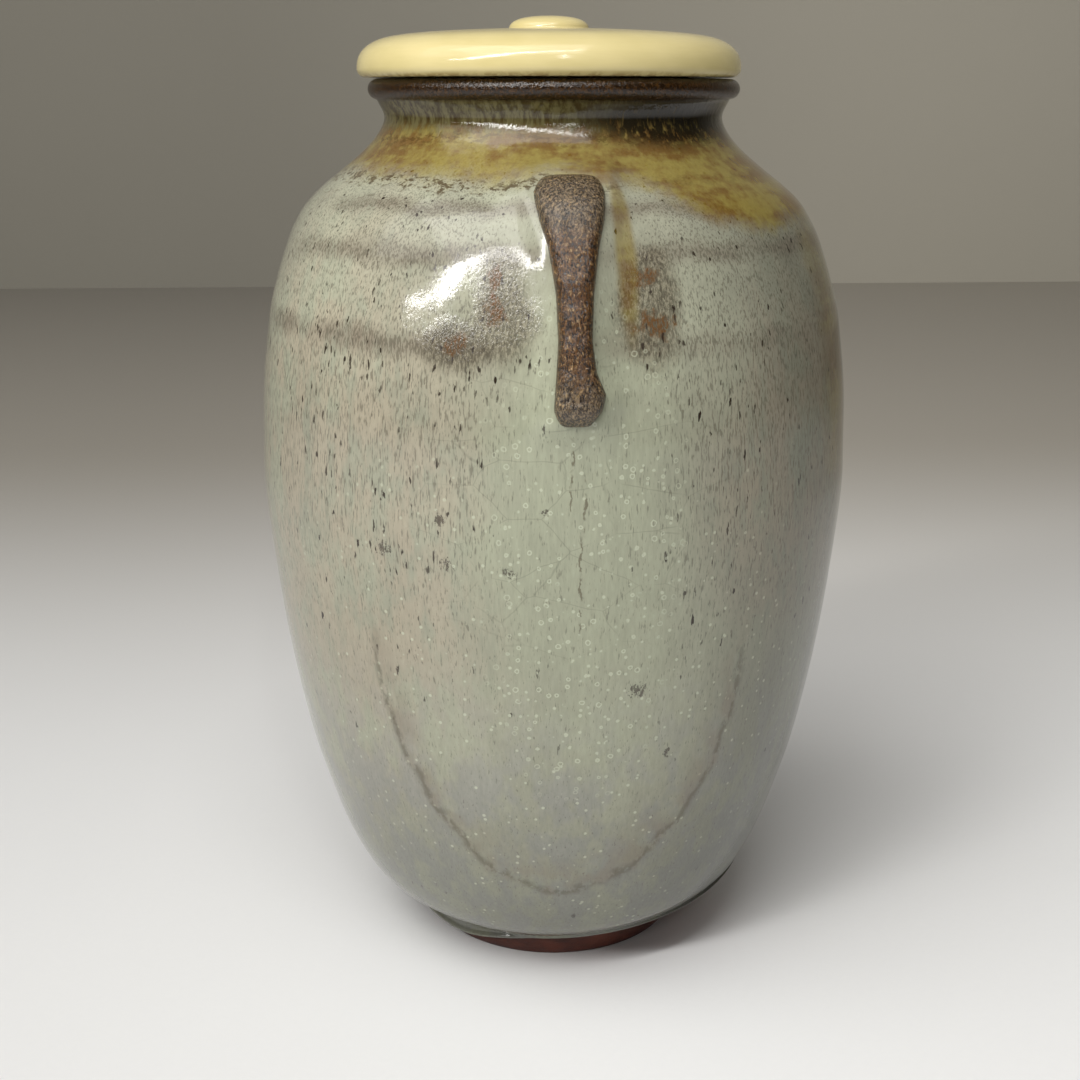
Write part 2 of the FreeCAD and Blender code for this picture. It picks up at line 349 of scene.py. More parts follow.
def tilt_edge(radii, heights, angles):
    """The lowest glaze slid along the wall, up at the right and down at the left, with small waves."""
    waves = 0.16 * np.sin(3 * angles + 0.4) + 0.11 * np.sin(5 * angles + 2.0) + 0.07 * np.sin(11 * angles)
    climb = np.sin(angles) + 0.35 * np.sin(angles) ** 2
    wander = EDGE_RISE + EDGE_TILT * climb + waves * MM
    share = np.clip((EDGE_REACH - heights) / (EDGE_REACH - EDGE_HEIGHT), 0, 1) ** 1.5
    moved = heights + wander * share
    return radii + wall_radius(moved) - wall_radius(heights), moved


def add_glaze(material):
    """The glaze: a thin closed skin from the rolled lower edge over the lip into the throat."""
    low = EDGE_HEIGHT + BEAD
    bead = arc((float(wall_radius(low)) - BEAD, low), BEAD, -150, -10, 10)
    wall = even_steps(wall_points(low, LIP_ROOT, 600), 0.42 * MM)
    lip = glaze_lip()
    back = glaze_back(low)
    outline = np.vstack([bead, wall, lip, back])
    relief_shares = np.repeat([0, 1, 0.3, 0], [len(bead), len(wall), len(lip), len(back)])
    fade = relief_shares * np.clip((outline[:, 1] - EDGE_HEIGHT) / (3 * MM), 0, 1)
    angles = glaze_angles()[None, :]
    radii = np.repeat(outline[:, :1], angles.size, 1)
    heights = np.repeat(outline[:, 1:], angles.size, 1)
    normals = outline_normals(outline)
    lift = glaze_relief(angles, heights) * fade[:, None]
    radii, heights = tilt_edge(radii + lift * normals[:, :1], heights + lift * normals[:, 1:], angles)
    vertices = turn_points(radii, heights, angles)
    faces = grid_faces(len(outline), angles.size, loop_rows=True)
    return add_mesh("glaze_skin", vertices, faces, material, "jar")


def rounded_square(turn):
    """Points of a section that is squarer than a circle: across and out, each -1 to 1."""
    power = 0.62
    return [np.sign(wave) * np.abs(wave) ** power for wave in (np.cos(turn), np.sin(turn))]


def lug_fullness(share):
    """How full the strap's section is along its length: about half at both ends, and 1 between."""
    from_foot = share * 9 + 0.25
    from_head = (1 - share) * 4.5 + 0.12
    near_end = np.clip(np.minimum(from_foot, from_head), 0, 1)
    return np.sqrt(np.clip(1 - (1 - near_end) ** 2, 0.02, 1))


def add_lug(name, side, material):
    """A strap bent down the shoulder: a rounded section swept along the wall, closed at both ends."""
    rows, columns = 150, 64
    set_lower = 0.3 * MM
    z = np.linspace(LUG_LOW - set_lower, LUG_HIGH - set_lower, rows)[:, None]
    share = (z - LUG_LOW) / (LUG_HIGH - LUG_LOW)
    left, right = lug_edges(np.clip(share, 0, 1))
    full = lug_fullness(share)
    across, out = rounded_square(np.linspace(0, 2 * np.pi, columns, endpoint=False)[None, :])
    width = np.where(across > 0, right, left) * (0.55 + 0.45 * full)
    roll = 0.08 * np.sin(share * 21 + 1.3) + 0.05 * np.sin(share * 47)
    height = np.where(out > 0, LUG_STANDOUT * full * (1 + roll * 0.4), LUG_DEPTH)
    hollow = 0.10 * MM * np.maximum(out, 0) * (1 - np.abs(across)) * np.sin(share * 16)
    lift = out * height + hollow
    slope = (wall_radius(z + 0.5 * MM) - wall_radius(z - 0.5 * MM)) / MM
    steepness = np.sqrt(1 + slope ** 2)
    rng = np.random.default_rng(SEED + 10 + side)
    grain = rng.normal(0, 0.022 * MM, lift.shape) * (out > 0.2)
    radius = wall_radius(z) + lift / steepness + grain
    level = z - slope * lift / steepness
    turn = side * np.pi + across * width / wall_radius(z)
    vertices = np.stack([radius * np.sin(turn), -radius * np.cos(turn), level], -1).reshape(-1, 3)
    faces = grid_faces(rows, columns)
    last = (rows - 1) * columns
    faces.append(tuple(range(columns))[::-1])
    faces.append(tuple(range(last, last + columns)))
    return add_mesh(name, vertices, faces, material, "jar")


def clay_marks(radii, heights, angles):
    """Finger rings up the hollow and on its floor, and string marks under the foot."""
    floor_top = 6 * MM
    inside = radii < wall_radius(heights) - 2 * MM
    ring = 0.12 * MM * np.sin(heights / (0.75 * MM) + angles)
    faded_ring = ring * np.clip((LIP_ROOT - heights) / (8 * MM), 0, 1)
    radii = np.where(inside & (heights > floor_top), radii + faded_ring, radii)
    swirl = 0.13 * MM * np.sin(radii / (0.55 * MM) - angles) * np.clip(radii / (2 * MM), 0, 1)
    on_floor = inside & (heights < floor_top) & (heights > 2 * MM)
    heights = np.where(on_floor, heights + swirl, heights)
    from_string = np.hypot(radii * np.sin(angles) - 5 * MM, radii * np.cos(angles) + 7 * MM)
    groove = 0.09 * MM * (1 + np.sin(from_string / (0.2 * MM)))
    cut = groove * np.clip((FOOT_RADIUS - MM - radii) / (2 * MM), 0, 1)
    return radii, np.where(heights < 0.1 * MM, heights + cut, heights)


def add_clay(material):
    """The thrown clay: string-cut foot, wall under the glaze, and the hollow."""
    inner_z = np.linspace(float(hollow_wall.xs[-1]), float(hollow_wall.xs[0]), 150)
    outline = np.vstack([
        [(0, 0), (FOOT_RADIUS - FOOT_ROUND, 0)],
        arc((FOOT_RADIUS - FOOT_ROUND, FOOT_ROUND), FOOT_ROUND, -90, -8, 8),
        wall_points(MM, LIP_ROOT, 120, SKIN - LAP),
        arc((LIP_MIDDLE_RADIUS, LIP_MIDDLE), LIP_ROUND - 0.3 * MM, 0, 90, 8),
        arc((MOUTH_RADIUS, CLAY_TOP - MOUTH_ROUND), MOUTH_ROUND, 90, 180, 12),
        [(float(hollow_wall(z)), z) for z in inner_z],
        [(9 * MM, FLOOR_HEIGHT), (0, FLOOR_HEIGHT)],
    ])
    return add_turned("thrown_clay", even_steps(outline, 0.55 * MM), 256, material, "jar", clay_marks)


def add_lid(material):
    """The turned lid: boss, rim and low knob."""
    rim_round, boss_round, corner = 0.75 * MM, 0.3 * MM, 0.25 * MM
    boss = cast_radius("lid", (LID_LOW + LID_BOTTOM) / 2)
    rim_low = LID_BOTTOM + rim_round
    rim_radius = cast_radius("lid", rim_low)
    heights = np.linspace(rim_low, LID_HIGH - 0.03 * MM, 160)
    top = [(cast_radius("lid", float(z)), float(z)) for z in heights]
    outline = np.vstack([
        [(0, LID_LOW), (boss - 0.4 * MM, LID_LOW)],
        arc((boss - boss_round, LID_LOW + boss_round), boss_round, -80, 0, 6),
        [(boss, LID_BOTTOM - corner), (boss + corner, LID_BOTTOM)],
        arc((rim_radius - rim_round, rim_low), rim_round, -90, 0, 10),
        top[1:],
        [(0, LID_HIGH)],
    ])
    piece = add_turned("turned_lid", even_steps(outline, 0.16 * MM), 288, material, "lid")
    piece.data.transform(Matrix.Translation((LID_SHIFT, 0, 0)))
    return piece


# --------------------------------------------------------------- materials


def srgb(red, green, blue):
    """A colour from screen values 0 to 255, as the linear colour that a shader takes."""
    parts = [value / 255 for value in (red, green, blue)]
    return (*(c / 12.92 if c <= 0.04045 else ((c + 0.055) / 1.055) ** 2.4 for c in parts), 1.0)


def numbered(sockets, identifier):
    """The socket of a Mix node with this identifier, as several share a name."""
    return next(socket for socket in sockets if socket.identifier == identifier)


class Paint:
    """A node material with one Principled shader, and short names for the nodes it needs."""

    def __init__(self, name):
        self.material = bpy.data.materials.new(name)
        self.material.use_nodes = True
        self.tree = self.material.node_tree
        self.shader = next(n for n in self.tree.nodes if n.type == "BSDF_PRINCIPLED")
        self.place = self.tree.nodes.new("ShaderNodeTexCoord").outputs["Object"]
        self.x, self.y, self.z = self.add("ShaderNodeSeparateXYZ", Vector=self.place).outputs

    def add(self, kind, **inputs):
        """A new node with some of its inputs fed."""
        node = self.tree.nodes.new(kind)
        for name, value in inputs.items():
            self.feed(node.inputs[name], value)
        return node

    def feed(self, socket, value):
        """Link an input to an output, or set its value."""
        if isinstance(value, bpy.types.NodeSocket):
            self.tree.links.new(value, socket)
        else:
            socket.default_value = value

    def math(self, operation, first, second=0.0):
        """One Math node, its inputs numbers or sockets."""
        node = self.tree.nodes.new("ShaderNodeMath")
        node.operation = operation
        self.feed(node.inputs[0], first)
        self.feed(node.inputs[1], second)
        return node.outputs[0]

    def times(self, *values):
        result = values[0]
        for value in values[1:]:
            result = self.math("MULTIPLY", result, value)
        return result

    def plus(self, *values):
        result = values[0]
        for value in values[1:]:
            result = self.math("ADD", result, value)
        return result

    def minus(self, first, second):
        return self.math("SUBTRACT", first, second)

    def most(self, *values):
        result = values[0]
        for value in values[1:]:
            result = self.math("MAXIMUM", result, value)
        return result

    def away(self, first, second):
        """How far apart two values are."""
        return self.math("ABSOLUTE", self.minus(first, second))

    def swing(self, noise, amount):
        """Noise moved to swing either side of 0, up to half the amount."""
        return self.times(self.minus(noise, 0.5), amount)

    def step(self, value, low, high):
        """Rises smoothly from 0 at low to 1 at high; falls if high is the lower one."""
        node = self.tree.nodes.new("ShaderNodeMapRange")
        node.interpolation_type = "SMOOTHSTEP"
        rising = high > low
        node.inputs["From Min"].default_value = min(low, high)
        node.inputs["From Max"].default_value = max(low, high)
        node.inputs["To Min"].default_value = 0.0 if rising else 1.0
        node.inputs["To Max"].default_value = 1.0 if rising else 0.0
        self.feed(node.inputs["Value"], value)
        return node.outputs["Result"]

    def grains(self, across, along, offset=0.0):
        """The place measured in grains, `across` millimetres wide and `along` millimetres tall."""
        node = self.tree.nodes.new("ShaderNodeMapping")
        self.feed(node.inputs["Vector"], self.place)
        node.inputs["Scale"].default_value = (1 / (across * MM), 1 / (across * MM), 1 / (along * MM))
        node.inputs["Location"].default_value = (offset, offset * 1.7, offset * 0.6)
        return node.outputs["Vector"]

    def noise(self, where, detail=2.0, rough=0.5):
        """Smooth random values, mostly 0.3 to 0.7, over a place measured in grains."""
        node = self.add("ShaderNodeTexNoise", Vector=where, Scale=1.0, Detail=detail, Roughness=rough)
        return node.outputs["Fac"]

    def wobble(self, where, amount, scale=1.0):
        """The place moved about by noise, so that what is drawn there has uneven edges."""
        node = self.add("ShaderNodeTexNoise", Vector=where, Scale=scale, Detail=2.0)
        shift = self.tree.nodes.new("ShaderNodeVectorMath")
        shift.operation = "MULTIPLY_ADD"
        self.feed(shift.inputs[0], node.outputs["Color"])
        shift.inputs[1].default_value = (amount, amount, amount)
        self.feed(shift.inputs[2], where)
        return shift.outputs["Vector"]

    def cells(self, where):
        """Distance to the nearest of scattered points, and two random numbers of that point."""
        node = self.add("ShaderNodeTexVoronoi", Vector=where, Scale=1.0)
        split = self.add("ShaderNodeSeparateColor", Color=node.outputs["Color"])
        return node.outputs["Distance"], split.outputs[0], split.outputs[1]

    def cell_edges(self, where):
        """Distance to the nearest border between cells."""
        node = self.tree.nodes.new("ShaderNodeTexVoronoi")
        node.feature = "DISTANCE_TO_EDGE"
        self.feed(node.inputs["Vector"], where)
        node.inputs["Scale"].default_value = 1.0
        return node.outputs["Distance"]

    def mix(self, amount, first, second, blend="MIX"):
        """The first colour, with an amount of the second over it."""
        node = self.tree.nodes.new("ShaderNodeMix")
        node.data_type = "RGBA"
        node.blend_type = blend
        self.feed(numbered(node.inputs, "Factor_Float"), amount)
        self.feed(numbered(node.inputs, "A_Color"), first)
        self.feed(numbered(node.inputs, "B_Color"), second)
        return numbered(node.outputs, "Result_Color")

    def shade(self, colour, value, low, high):
        """The colour times a number: low where value is 0, high where it is 1."""
        grey = self.mix(value, (low, low, low, 1), (high, high, high, 1))
        return self.mix(1.0, colour, grey, "MULTIPLY")

    def relief(self, height):
        """A normal for relief too fine for the mesh, from its height in millimetres."""
        return self.add("ShaderNodeBump", Height=height, Distance=MM, Strength=1.0).outputs["Normal"]

    def finish(self, colour, roughness, normal, **constants):
        """Feed the shader, set its constants and hand over the material."""
        self.feed(self.shader.inputs["Base Color"], colour)
        self.feed(self.shader.inputs["Roughness"], roughness)
        self.feed(self.shader.inputs["Normal"], normal)
        for name, value in constants.items():
            self.shader.inputs[name].default_value = value
        return self.material


class JarPaint(Paint):
    """A paint that knows places on the jar: degrees from the front lug, and millimetres up."""

    def __init__(self, name):
        super().__init__(name)
        self.angle = self.math("DEGREES", self.math("ARCTAN2", self.x, self.times(self.y, -1.0)))
        self.height = self.math("DIVIDE", self.z, MM)
        self.wander = self.noise(self.grains(5, 6, 3.0), 3.0, 0.6)
        self.fine_wander = self.noise(self.grains(0.8, 1.3, 5.0), 3.0, 0.65)

    def turned_from(self, angle):
        """Degrees round the jar, either way, from an angle: 0 to 180 with no seam at the back."""
        return self.minus(180.0, self.away(self.away(self.angle, angle), 180.0))

    def oval(self, angle, height, half_angle, half_height):
        """0 in the middle of an oval on the side, 1 on its edge, and more outside."""
        across = self.math("DIVIDE", self.turned_from(angle), half_angle)
        up = self.math("DIVIDE", self.minus(self.height, height), half_height)
        return self.math("SQRT", self.plus(self.times(across, across), self.times(up, up)))

    def patch(self, angle, height, half_angle, half_height, soft=0.5, wander=0.0):
        """1 inside an oval, fading to 0 outside, with an edge that wanders."""
        reach = self.oval(angle, height, half_angle, half_height)
        if wander:
            reach = self.plus(reach, self.swing(self.wander, wander))
        return self.step(reach, 1.0 + soft / 2, 1.0 - soft / 2)


def glaze_ground(p):
    """Celadon: warm where thin, greyer low down, streaked; painted shade towards the foot and the right,
    painted light on the shoulder.
    """
    p.clouds = p.noise(p.grains(10, 13, 1.0), 3.0, 0.55)
    p.streaks = p.noise(p.grains(0.9, 6, 2.0), 3.0, 0.6)
    p.threads = p.noise(p.grains(0.24, 1.5, 4.0), 2.0, 0.6)
    mottle = p.noise(p.grains(2.4, 4.5, 6.0), 3.0, 0.6)
    p.pool = p.patch(1, 46, 17, 17, soft=1.2, wander=1.3)
    colour = p.mix(p.step(p.clouds, 0.38, 0.62), srgb(159, 160, 140), srgb(150, 150, 132))
    left = p.patch(-50, 44, 38, 24, soft=0.9, wander=0.5)
    right = p.patch(52, 50, 26, 14, soft=1.0, wander=0.6)
    back = p.patch(150, 42, 60, 20, soft=1.2, wander=0.8)
    patchy = p.plus(p.times(mottle, 0.5), p.times(p.clouds, 0.25), p.times(p.streaks, 0.25))
    flush = p.times(p.most(left, right, back), p.step(patchy, 0.40, 0.56), p.step(p.pool, 1.0, 0.3))
    colour = p.mix(p.times(flush, 0.75), colour, srgb(162, 152, 133))
    cool = p.times(p.step(p.height, 38, 20), p.step(mottle, 0.38, 0.6))
    colour = p.mix(p.times(cool, 0.7), colour, srgb(139, 139, 133))
    colour = p.mix(p.times(p.pool, 0.7), colour, srgb(157, 161, 138))
    # painted shade: darker towards the foot, where less light falls
    colour = p.shade(colour, p.step(p.height, 28, 2), 1.0, 0.55)
    # painted light: lighter from the shoulder up, where more light falls
    colour = p.shade(colour, p.step(p.height, 52, 62), 1.0, 1.14)
    # painted shade: darker round the right side, away from the lights
    colour = p.shade(colour, p.step(p.turned_from(90), 80, 38), 1.0, 0.62)
    colour = p.shade(colour, p.streaks, 0.90, 1.08)
    colour = p.shade(colour, mottle, 0.88, 1.12)
    return p.shade(colour, p.threads, 0.82, 1.16)


def add_ring_bands(p, colour):
    """The throwing rings show as dull pink bands, where the glaze ran thin."""
    level = p.plus(p.height, p.swing(p.wander, 2.2))
    p.bands = 0.0
    for height, _, width in RIDGES[:3]:
        p.bands = p.plus(p.bands, p.step(p.away(level, height - 0.2), 1.1 * width, 0.0))
    broken = p.step(p.noise(p.grains(13, 7, 7.0)), 0.40, 0.62)
    p.bands = p.times(p.bands, p.plus(p.times(broken, 0.85), 0.15), p.plus(p.times(p.streaks, 1.2), 0.3))
    return p.mix(p.times(p.bands, 0.60), colour, srgb(112, 101, 88))


def add_stains(p, colour):
    """Brown patches either side of the lug, felted, with amber hearts."""
    left = p.patch(-13.0, 63.4, 6.0, 4.0, soft=0.7, wander=1.3)
    left_tail = p.patch(-19.0, 60.8, 8.0, 1.9, soft=0.8, wander=1.3)
    right = p.patch(13.5, 64.0, 5.5, 4.4, soft=0.7, wander=1.3)
    back = p.patch(168, 64, 9, 4.0, soft=0.6, wander=1.2)
    p.stain = p.most(left, left_tail, right, back)
    felt = p.noise(p.wobble(p.grains(0.2, 0.5, 19.0), 1.6, 0.6), 3.0, 0.7)
    brown = p.mix(p.step(felt, 0.40, 0.60), srgb(58, 46, 30), srgb(134, 126, 106))
    colour = p.mix(p.times(p.stain, 0.75), colour, brown)
    hearts = 0.0
    for angle, height, wide, tall in HEARTS:
        reach = p.plus(p.oval(angle, height, wide, tall), p.swing(p.fine_wander, 4.0))
        hearts = p.plus(hearts, p.step(reach, 1.5, 0.5))
    hearts = p.times(hearts, p.step(felt, 0.36, 0.54))
    return p.mix(p.times(hearts, 0.9), colour, srgb(96, 60, 20))


def add_iron(p, colour):
    """Iron that bled through: hair-fine lines everywhere, and short dark dashes in crowds."""
    upper = p.step(p.height, 22, 56)
    beside = p.step(p.turned_from(1), 9, 22)
    open_wall = p.times(upper, p.plus(p.times(beside, 0.85), 0.15))
    hairs = p.noise(p.grains(0.14, 0.9, 10.0), 2.0, 0.55)
    crowd = p.plus(p.times(open_wall, 0.10), p.times(p.bands, 0.08), p.times(p.stain, 0.06))
    hairs = p.step(p.plus(hairs, crowd), 0.60, 0.74)
    colour = p.mix(p.times(hairs, 0.55), colour, srgb(82, 76, 64))
    comb = p.times(p.patch(-52, 59.2, 50, 2.4, soft=0.8, wander=0.3), 0.8)
    left = p.patch(-31, 45.0, 14, 3.4, soft=1.0, wander=1.0)
    right = p.patch(33, 49, 14, 7, soft=1.0, wander=1.0)
    crowds = p.step(p.noise(p.grains(2.6, 3.4, 15.0), 2.0, 0.6), 0.38, 0.62)
    share = p.plus(p.times(open_wall, crowds, 0.60), p.times(p.bands, 0.42), 0.03)
    share = p.plus(share, comb, p.times(p.most(left, right), 0.35), p.times(p.stain, 0.4))
    far, own, size = p.cells(p.wobble(p.grains(0.44, 1.5, 11.0), 1.1, 1.5))
    present = p.step(p.minus(share, own), -0.02, 0.05)
    p.dashes = p.times(p.step(p.minus(far, p.times(size, 0.20)), 0.15, 0.04), present)
    return p.mix(p.times(p.dashes, p.plus(p.times(size, 0.5), 0.5)), colour, srgb(44, 34, 26))


def add_spots(p, colour):
    """A few iron stars that burst through the surface."""
    ragged = p.noise(p.grains(0.26, 0.5, 23.0), 3.0, 0.8)
    p.spots = 0.0
    for angle, height, size in SPOTS:
        reach = p.plus(p.oval(angle, height, 2.1 * size, size), p.times(p.minus(ragged, 0.46), 7.0))
        p.spots = p.plus(p.spots, p.step(reach, 1.3, 0.5))
    return p.mix(p.times(p.spots, 0.75), colour, srgb(54, 40, 32))


def add_bubbles(p, colour):
    """Bubbles that broke at the surface: pale rings in the pool, pale dots below it."""
    thin_out = p.noise(p.grains(2.2, 2.2, 31.0), 2.0, 0.6)
    upper = p.patch(2, 47, 16, 17, soft=0.7, wander=0.6)
    lower = p.patch(1, 33, 14, 10, soft=0.7, wander=0.6)
    far, own, size = p.cells(p.wobble(p.grains(0.84, 0.84, 29.0), 0.22, 2.5))
    ring = p.step(p.away(far, p.plus(p.times(size, 0.12), 0.14)), 0.085, 0.030)
    ring = p.times(ring, p.step(p.minus(own, thin_out), -0.12, -0.05), p.most(upper, lower))
    wide = p.patch(-4, 30, 52, 24, soft=0.8, wander=0.6)
    dot_far, dot_own, _ = p.cells(p.grains(0.72, 0.72, 33.0))
    dot = p.times(p.step(dot_far, 0.26, 0.14), p.step(p.minus(dot_own, thin_out), 0.18, 0.26), wide)
    return p.mix(p.times(p.most(ring, dot), 0.55), colour, srgb(198, 202, 178))


def add_crackle(p, colour):
    """Hair cracks in the pool, and dark runs that hang from the lug's foot."""
    edge = p.cell_edges(p.wobble(p.grains(6.5, 4.2, 37.0), 0.12, 2.0))
    zone = p.times(p.patch(-2, 49, 26, 13, soft=0.8, wander=0.6), p.step(p.wander, 0.38, 0.52))
    cracks = p.times(p.step(edge, 0.013, 0.002), zone)
    colour = p.mix(p.times(cracks, 0.22), colour, srgb(66, 66, 52))
    bend = p.swing(p.fine_wander, 2.2)
    runs = 0.0
    for angle, height, half_length in RUNS:
        line = p.step(p.away(p.plus(p.angle, bend), angle), 0.26, 0.08)
        runs = p.plus(runs, p.times(line, p.step(p.away(p.height, height), half_length, half_length - 1)))
    runs = p.times(runs, p.step(p.noise(p.grains(3, 1.1, 41.0)), 0.40, 0.52))
    return p.mix(p.times(runs, 0.7), colour, srgb(80, 68, 46))


def add_u_reflection(p, colour):
    """A painted reflection: a wide faint darker band that hangs in a U on the lower front."""
    ragged = p.plus(p.swing(p.wander, 0.16), p.swing(p.fine_wander, 0.05))
    reach = p.plus(p.oval(-1.5, 37, 37.5, 25.5), ragged)
    low = p.step(p.height, 40, 30)
    inside = p.times(p.step(reach, 0.78, 0.97), p.step(reach, 1.03, 0.97), low)
    patchy = p.step(p.noise(p.grains(2.2, 3.0, 45.0), 2.0), 0.35, 0.6)
    # painted reflection: a faint darker band just inside the U's edge
    colour = p.mix(p.times(inside, patchy, 0.5), colour, srgb(124, 112, 96))
    # painted reflection: a broken darker line along the U's edge
    line = p.times(p.step(p.away(reach, 0.985), 0.035, 0.0), low)
    return p.mix(p.times(line, p.step(p.fine_wander, 0.38, 0.55), 0.6), colour, srgb(80, 77, 60))


def add_ash(p, colour):
    """Amber ash on the slope and neck: a speckled lower edge, runs beside the lug and at the right."""
    ragged = p.plus(p.times(p.wander, 2.4), p.times(p.fine_wander, 0.9), p.times(p.streaks, 1.0))
    level = p.plus(p.height, p.minus(ragged, 2.15))
    far_right = p.times(p.patch(58, 69, 28, 7, soft=1.3), 3.8)
    near_right = p.times(p.patch(30, 71, 14, 4, soft=1.2), 0.8)
    ash = p.step(p.plus(level, p.plus(far_right, near_right)), 71.9, 74.2)
    beside_lug = p.patch(9.8, 68.5, 2.0, 6.5, soft=0.8, wander=0.3)
    right_run = p.patch(66, 60, 8, 13, soft=1.2, wander=0.9)
    ash = p.most(ash, p.times(beside_lug, 0.7), p.times(right_run, 0.5))
    level_bands = p.noise(p.grains(9, 1.5, 43.0), 3.0, 0.6)
    tint = p.step(p.plus(p.times(level_bands, 0.6), p.times(p.streaks, 0.4)), 0.40, 0.60)
    amber = p.mix(tint, srgb(106, 74, 14), srgb(138, 122, 56))
    amber = p.shade(amber, p.threads, 0.78, 1.14)
    colour = p.mix(p.times(ash, 0.9), colour, amber)
    border = p.step(p.away(level, 72.6), 0.8, 0.1)
    grit = p.step(p.noise(p.grains(0.9, 0.4, 47.0), 3.0, 0.7), 0.50, 0.58)
    shoulder = p.step(p.turned_from(40), 20, 44)
    colour = p.mix(p.times(border, grit, p.plus(p.times(shoulder, 0.6), 0.2)), colour, srgb(66, 48, 26))
    upper = p.times(p.step(p.away(level, 76.0), 1.0, 0.1), grit)
    return p.mix(p.times(upper, 0.55), colour, srgb(74, 54, 26))


def add_neck(p, colour):
    """The glaze thins up the neck to olive streaks, and over the lip to dark brown; painted shadow of the
    lid darkens the neck's right side.
    """
    run = p.noise(p.grains(0.5, 2.6, 53.0), 3.0, 0.7)
    neck = p.step(p.plus(p.height, p.times(run, 2.2)), 77.0, 78.4)
    p.drips = p.times(p.step(p.height, 75.5, 77.0), run)
    olive = p.mix(p.step(run, 0.36, 0.62), srgb(44, 33, 12), srgb(98, 93, 62))
    colour = p.mix(p.times(neck, 0.9), colour, olive)
    # painted shadow: the lid's shadow, broken by the streaks, across the right of the neck
    dark = p.times(p.patch(38, 77.3, 34, 1.9, soft=0.9, wander=0.6), p.step(run, 0.28, 0.5))
    colour = p.mix(p.times(dark, 0.92), colour, srgb(16, 8, 2))
    p.lip = p.step(p.height, 78.7, 79.1)
    grain = p.noise(p.grains(0.28, 0.28, 59.0), 3.0, 0.75)
    brown = p.mix(p.step(grain, 0.42, 0.66), srgb(28, 14, 2), srgb(68, 44, 14))
    return p.mix(p.lip, colour, brown)


def glaze_paint():
    """Thick speckled celadon with amber ash on the neck."""
    p = JarPaint("pale_speckled_glaze")
    colour = glaze_ground(p)
    for layer in (add_ring_bands, add_stains, add_iron, add_spots, add_bubbles, add_crackle,
                  add_u_reflection, add_ash, add_neck):
        colour = layer(p, colour)
    skin = p.noise(p.grains(0.7, 0.85, 61.0), 2.0, 0.5)
    grit = p.noise(p.grains(0.17, 0.26, 67.0), 2.0, 0.7)
    gritty = p.plus(p.times(p.stain, 0.045), p.times(p.lip, 0.07), 0.004)
    height = p.plus(p.times(skin, 0.014), p.times(grit, gritty))
    height = p.plus(height, p.times(p.spots, -0.05), p.times(p.drips, 0.05))
    roughness = p.plus(p.times(p.clouds, 0.06), p.times(p.stain, 0.10), p.times(p.lip, 0.06))
    roughness = p.plus(roughness, p.times(p.dashes, 0.12), 0.07)
    return p.finish(colour, roughness, p.relief(height), IOR=1.52)


def lug_paint():
    """Iron-brown glaze, thin over the strap: a glittering felt of fibres, lilac-grey at the ends."""
    p = JarPaint("thin_iron_glaze")
    fibres = p.noise(p.wobble(p.grains(0.17, 0.40, 1.0), 2.4, 0.5), 3.0, 0.75)
    grain = p.noise(p.wobble(p.grains(0.20, 0.42, 3.0), 1.4, 0.7), 3.0, 0.7)
    patches = p.noise(p.grains(1.3, 2.0, 5.0), 3.0, 0.6)
    colour = p.mix(p.step(fibres, 0.40, 0.60), srgb(34, 20, 8), srgb(98, 66, 32))
    colour = p.mix(p.times(p.step(patches, 0.45, 0.62), 0.45), colour, srgb(84, 54, 24))
    edge = p.plus(p.height, p.swing(patches, 3.0), p.swing(fibres, 2.0))
    foot, head = LUG_LOW / MM, LUG_HIGH / MM
    ends = p.most(p.step(edge, foot + 4.8, foot + 1.8), p.step(edge, head - 4.2, head - 1.6))
    pale = p.mix(p.step(fibres, 0.40, 0.60), srgb(46, 35, 24), srgb(128, 114, 92))
    colour = p.mix(p.times(ends, 0.8), colour, pale)
    colour = p.mix(p.times(p.step(grain, 0.56, 0.68), 0.6), colour, srgb(188, 156, 108))
    colour = p.mix(p.times(p.step(grain, 0.48, 0.38), 0.9), colour, srgb(18, 10, 4))
    height = p.plus(p.times(fibres, 0.06), p.times(grain, 0.11))
    return p.finish(colour, p.plus(p.times(patches, 0.10), 0.04), p.relief(height), IOR=1.6)


def clay_paint():
    """Unglazed red-brown stoneware: fine sand, darker where the kiln flashed it."""
    p = JarPaint("red_stoneware")
    clouds = p.noise(p.grains(5, 3, 1.0), 3.0, 0.6)
    sand = p.noise(p.grains(0.22, 0.22, 2.0), 3.0, 0.75)
    colour = p.mix(p.step(clouds, 0.35, 0.65), srgb(66, 29, 18), srgb(98, 45, 27))
    colour = p.shade(colour, sand, 0.70, 1.22)
    far, own, _ = p.cells(p.grains(0.55, 0.55, 4.0))
    specks = p.times(p.step(far, 0.22, 0.10), p.step(own, 0.70, 0.75))
    colour = p.mix(p.times(specks, 0.8), colour, srgb(40, 26, 20))
    height = p.plus(p.times(sand, 0.09), p.times(p.noise(p.grains(2.5, 0.5, 6.0)), 0.06))
    return p.finish(colour, p.plus(p.times(sand, 0.2), 0.55), p.relief(height))


